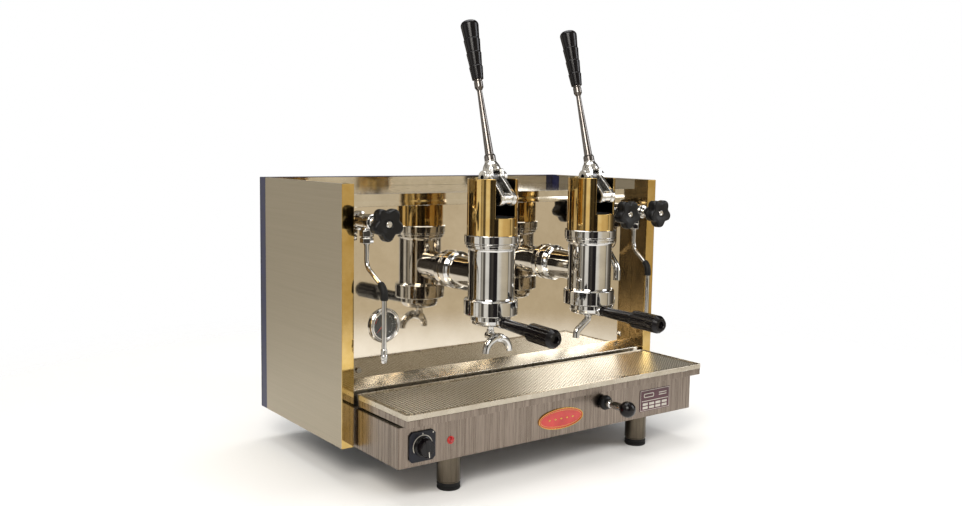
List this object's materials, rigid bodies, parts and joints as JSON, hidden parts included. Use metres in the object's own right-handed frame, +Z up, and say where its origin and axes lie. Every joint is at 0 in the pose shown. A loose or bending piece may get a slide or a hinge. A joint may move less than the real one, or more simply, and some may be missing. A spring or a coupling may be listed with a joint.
{
  "type": "espresso machine",
  "caption": "Counter-top spring-lever coffee machine: steel case with brass trims, lever groups, steam wands, gauges and a drip box on legs.",
  "frame": {"origin": "on the ground under the centre of the overall box", "axes": "+Z up, front with the groups and the drip box towards -Y, +X to the right when facing the front"},
  "size_m": [0.7, 0.5792, 0.7579],
  "materials": {
    "painted_frame": "satin grey paint",
    "brushed_panel": "fine horizontal brush lines",
    "brass_trim": "polished",
    "navy_cover": "satin navy paint",
    "mirror_steel": "mirror polished stainless",
    "satin_steel": "satin stainless",
    "brushed_fascia": "fine vertical brush lines",
    "badge_enamel": "red enamel with a gilt rim",
    "plate_maroon": "printed plate, bare of words",
    "switch_black": "moulded",
    "lamp_red": "clear red lens",
    "valve_black": "moulded knob on a plated spindle",
    "leg_steel": "brushed tube",
    "rubber": "moulded",
    "chrome": "polished plating",
    "dial_face": "printed black dial",
    "gauge_glass": "flat clear lens",
    "needle_red": "painted",
    "boiler_copper": "copper shell",
    "pipe_brass": "drawn tube and turned fittings",
    "sleeve_brass": "polished",
    "spring_steel": "oiled wire",
    "piston_steel": "ground",
    "knob_black": "moulded with a fine grain",
    "grip_black": "moulded",
    "wand_rubber": "moulded sleeve"
  },
  "bodies": {
    "root": {"base_frame": "painted_frame", "left_side_panel": "brushed_panel", "right_side_panel": "brushed_panel", "brass_trims": "brass_trim", "rear_cover": "navy_cover", "splash_panel": "mirror_steel", "cup_tray": "satin_steel", "splash_ledge": "mirror_steel", "drip_box": "brushed_fascia", "drip_pan": "satin_steel", "badge_plate": "badge_enamel", "data_plate": "plate_maroon", "switch_plate": "switch_black", "pilot_lamp": "lamp_red", "fill_valve": "valve_black", "foot_legs": "leg_steel", "foot_pads": "rubber", "gauge_cases": "chrome", "gauge_dials": "dial_face", "gauge_lenses": "gauge_glass", "boiler": "boiler_copper", "heating_element": "satin_steel", "boiler_pipework": "pipe_brass", "cable_gland": "switch_black", "panel_screws": "chrome", "valve_bodies": "chrome", "ring_nuts": "chrome", "group_seals": "rubber", "shower_screens": "satin_steel", "left_group_body": "chrome", "right_group_body": "chrome", "left_spring_sleeve": "sleeve_brass", "right_spring_sleeve": "sleeve_brass", "left_main_spring": "spring_steel", "right_main_spring": "spring_steel"},
    "left_piston": {"left_piston": "piston_steel"},
    "right_piston": {"right_piston": "piston_steel"},
    "left_lever": {"left_lever": "chrome", "left_lever_grip": "grip_black"},
    "right_lever": {"right_lever": "chrome", "right_lever_grip": "grip_black"},
    "left_portafilter": {"left_portafilter": "chrome", "left_spout": "chrome", "left_portafilter_handle": "grip_black"},
    "right_portafilter": {"right_portafilter": "chrome", "right_spout": "chrome", "right_portafilter_handle": "grip_black"},
    "left_steam_knob": {"left_steam_knob": "knob_black"},
    "right_steam_knob": {"right_steam_knob": "knob_black"},
    "water_knob": {"water_knob": "knob_black"},
    "left_steam_wand": {"left_steam_wand": "chrome", "left_wand_grip": "wand_rubber"},
    "right_steam_wand": {"right_steam_wand": "chrome", "right_wand_grip": "wand_rubber"},
    "water_spout": {"water_spout": "chrome"},
    "switch_knob": {"switch_knob": "switch_black"},
    "fill_knob": {"fill_knob": "valve_black"},
    "left_gauge_needle": {"left_gauge_needle": "needle_red"},
    "right_gauge_needle": {"right_gauge_needle": "needle_red"},
    "drip_grate": {"drip_grate": "mirror_steel"}
  },
  "joints": [
    {"name": "left_piston_lift", "type": "slide", "parent": "root", "child": "left_piston", "axis": [0, 0, 1], "range_m": [0, 0.0255], "deforming": ["left_main_spring"]},
    {"name": "left_lever_swing", "type": "hinge", "parent": "left_piston", "child": "left_lever", "pos_m": [-0.11, -0.099, 0.497], "axis": [1, 0, 0], "range_deg": [0, 75]},
    {"name": "left_portafilter_turn", "type": "hinge", "parent": "root", "child": "left_portafilter", "pos_m": [-0.11, -0.099, 0.27], "axis": [0, 0, 1], "range_deg": [-44, 0]},
    {"name": "left_steam_knob_turn", "type": "hinge", "parent": "root", "child": "left_steam_knob", "pos_m": [-0.3, -0.0765, 0.423], "axis": [0, -1, 0], "range_deg": [0, 540]},
    {"name": "left_steam_wand_swivel", "type": "hinge", "parent": "root", "child": "left_steam_wand", "pos_m": [-0.3, -0.0165, 0.405], "axis": [0, 0, 1], "range_deg": [-40, 40]},
    {"name": "left_gauge_needle_turn", "type": "hinge", "parent": "root", "child": "left_gauge_needle", "pos_m": [-0.251, 0.0125, 0.247], "axis": [0, 1, 0], "range_deg": [0, 270]},
    {"name": "right_piston_lift", "type": "slide", "parent": "root", "child": "right_piston", "axis": [0, 0, 1], "range_m": [0, 0.0255], "deforming": ["right_main_spring"]},
    {"name": "right_lever_swing", "type": "hinge", "parent": "right_piston", "child": "right_lever", "pos_m": [0.11, -0.099, 0.497], "axis": [1, 0, 0], "range_deg": [0, 75]},
    {"name": "right_portafilter_turn", "type": "hinge", "parent": "root", "child": "right_portafilter", "pos_m": [0.11, -0.099, 0.27], "axis": [0, 0, 1], "range_deg": [-46, 0]},
    {"name": "right_steam_knob_turn", "type": "hinge", "parent": "root", "child": "right_steam_knob", "pos_m": [0.304, -0.0765, 0.423], "axis": [0, -1, 0], "range_deg": [0, 540]},
    {"name": "right_steam_wand_swivel", "type": "hinge", "parent": "root", "child": "right_steam_wand", "pos_m": [0.304, -0.0165, 0.405], "axis": [0, 0, 1], "range_deg": [-25, 55]},
    {"name": "right_gauge_needle_turn", "type": "hinge", "parent": "root", "child": "right_gauge_needle", "pos_m": [0.251, 0.0125, 0.247], "axis": [0, 1, 0], "range_deg": [0, 270]},
    {"name": "water_knob_turn", "type": "hinge", "parent": "root", "child": "water_knob", "pos_m": [0.222, -0.0765, 0.423], "axis": [0, -1, 0], "range_deg": [0, 540]},
    {"name": "water_spout_swivel", "type": "hinge", "parent": "root", "child": "water_spout", "pos_m": [0.222, -0.0165, 0.405], "axis": [0, 0, 1], "range_deg": [-40, 40]},
    {"name": "switch_knob_turn", "type": "hinge", "parent": "root", "child": "switch_knob", "pos_m": [-0.282, -0.1665, 0.089], "axis": [0, 1, 0], "range_deg": [0, 90]},
    {"name": "fill_knob_turn", "type": "hinge", "parent": "root", "child": "fill_knob", "pos_m": [0.097, -0.2065, 0.103], "axis": [0, -1, 0], "range_deg": [0, 360]},
    {"name": "drip_grate_lift", "type": "slide", "parent": "root", "child": "drip_grate", "axis": [0, 0, 1], "range_m": [0, 0.05]}
  ],
  "couplings": [
    {"joint": "left_piston_lift", "follows": "left_lever_swing", "m_per_rad": 0.0191},
    {"joint": "right_piston_lift", "follows": "right_lever_swing", "m_per_rad": 0.0191}
  ]
}
